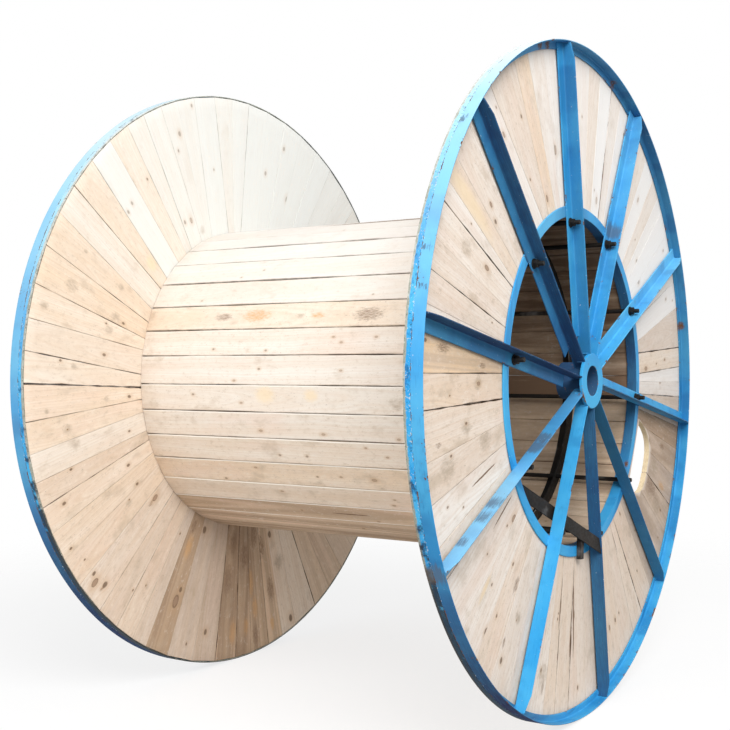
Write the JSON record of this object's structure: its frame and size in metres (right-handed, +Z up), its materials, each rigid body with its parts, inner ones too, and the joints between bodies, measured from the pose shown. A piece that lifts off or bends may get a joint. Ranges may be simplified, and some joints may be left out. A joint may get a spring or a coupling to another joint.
{
  "type": "cable drum",
  "caption": "Large cable drum: blue steel rims, spokes and hubs carry radial pine boards and a staved pine barrel held by tie rods.",
  "frame": {"origin": "on the floor under the middle of the drum, midway between the flanges", "axes": "X along the drum's own axis towards the flange with the cable hole, Y level across the drum, Z up"},
  "size_m": [1.7466, 2.5, 2.5],
  "materials": {
    "blue_paint": "satin",
    "bare_steel": "dull, dark and rusty",
    "worn_steel": "worn, with traces of paint",
    "board_pine": "sawn, unfinished",
    "stave_pine": "planed, unfinished"
  },
  "bodies": {
    "root": {"barrel_staves": "stave_pine", "brace": "bare_steel", "brace_cleat": "worn_steel", "far_boards": "board_pine", "far_edge_strip": "worn_steel", "far_hub": "blue_paint", "far_rim": "blue_paint", "far_ring": "blue_paint", "far_spoke_1": "blue_paint", "far_spoke_10": "blue_paint", "far_spoke_2": "blue_paint", "far_spoke_3": "blue_paint", "far_spoke_4": "blue_paint", "far_spoke_5": "blue_paint", "far_spoke_6": "blue_paint", "far_spoke_7": "blue_paint", "far_spoke_8": "blue_paint", "far_spoke_9": "blue_paint", "far_support_hoop": "bare_steel", "near_boards": "board_pine", "near_edge_strip": "worn_steel", "near_hub": "blue_paint", "near_rim": "blue_paint", "near_ring": "blue_paint", "near_spoke_1": "blue_paint", "near_spoke_10": "blue_paint", "near_spoke_2": "blue_paint", "near_spoke_3": "blue_paint", "near_spoke_4": "blue_paint", "near_spoke_5": "blue_paint", "near_spoke_6": "blue_paint", "near_spoke_7": "blue_paint", "near_spoke_8": "blue_paint", "near_spoke_9": "blue_paint", "near_support_hoop": "bare_steel", "tie_rod_1": "bare_steel", "tie_rod_10": "bare_steel", "tie_rod_2": "bare_steel", "tie_rod_3": "bare_steel", "tie_rod_4": "bare_steel", "tie_rod_5": "bare_steel", "tie_rod_6": "bare_steel", "tie_rod_7": "bare_steel", "tie_rod_8": "bare_steel", "tie_rod_9": "bare_steel"}
  },
  "joints": []
}
